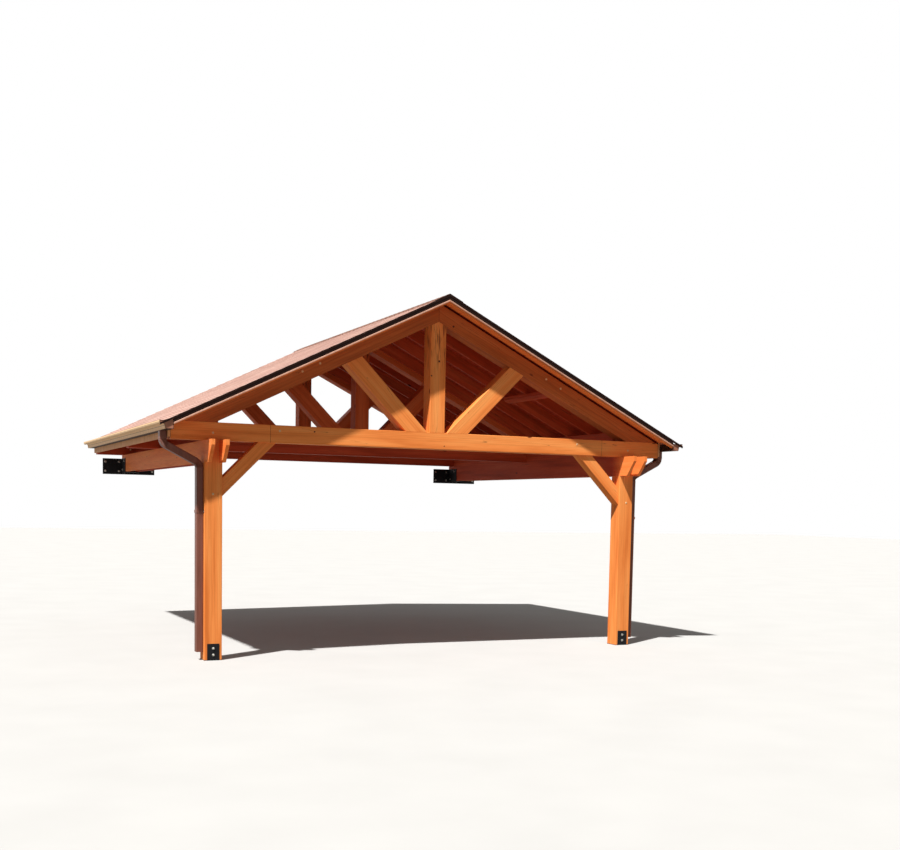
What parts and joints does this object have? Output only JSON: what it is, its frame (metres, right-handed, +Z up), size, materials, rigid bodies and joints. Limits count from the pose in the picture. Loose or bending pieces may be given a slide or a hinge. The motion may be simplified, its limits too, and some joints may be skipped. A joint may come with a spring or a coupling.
{
  "type": "porch canopy",
  "caption": "Open gabled timber-frame canopy: king-post trusses on doubled plates, carried by square posts in front and steel wall brackets behind.",
  "frame": {"origin": "centre of the rear tie beam's back face, on the wall", "axes": "+X to the right along the wall as seen from the garden, +Y into the wall, +Z up"},
  "size_m": [6.438, 5.37, 4.0699],
  "materials": {
    "timber": "satin",
    "deck_boards": "satin",
    "shingles": "matte",
    "dark_trim": "satin",
    "fascia_paint": "satin",
    "gutter_paint": "satin",
    "downspout_paint": "satin",
    "black_steel": "satin"
  },
  "bodies": {
    "root": {"deck_left": "deck_boards", "deck_right": "deck_boards", "downspout_elbows": "downspout_paint", "downspout_left": "downspout_paint", "downspout_offsets": "downspout_paint", "downspout_outlets": "downspout_paint", "downspout_right": "downspout_paint", "downspout_straps": "downspout_paint", "eave_boards": "timber", "fascia_left": "fascia_paint", "fascia_right": "fascia_paint", "gutter_left": "gutter_paint", "gutter_right": "gutter_paint", "king_post_front": "timber", "king_post_middle": "timber", "king_post_rear": "timber", "knee_braces": "timber", "plates_left": "timber", "plates_right": "timber", "post_bases": "black_steel", "post_left": "timber", "post_right": "timber", "principal_front_left": "timber", "principal_front_right": "timber", "principal_middle_left": "timber", "principal_middle_right": "timber", "principal_rear_left": "timber", "principal_rear_right": "timber", "rafters_left": "timber", "rafters_right": "timber", "rake_trim_left": "dark_trim", "rake_trim_right": "dark_trim", "ridge_board": "timber", "ridge_cap": "shingles", "shingles_left": "shingles", "shingles_right": "shingles", "stay_board": "timber", "struts_front": "timber", "struts_middle": "timber", "struts_rear": "timber", "tie_front": "timber", "tie_middle": "timber", "tie_rear": "timber", "wall_bracket_left": "black_steel", "wall_bracket_right": "black_steel"}
  },
  "joints": []
}
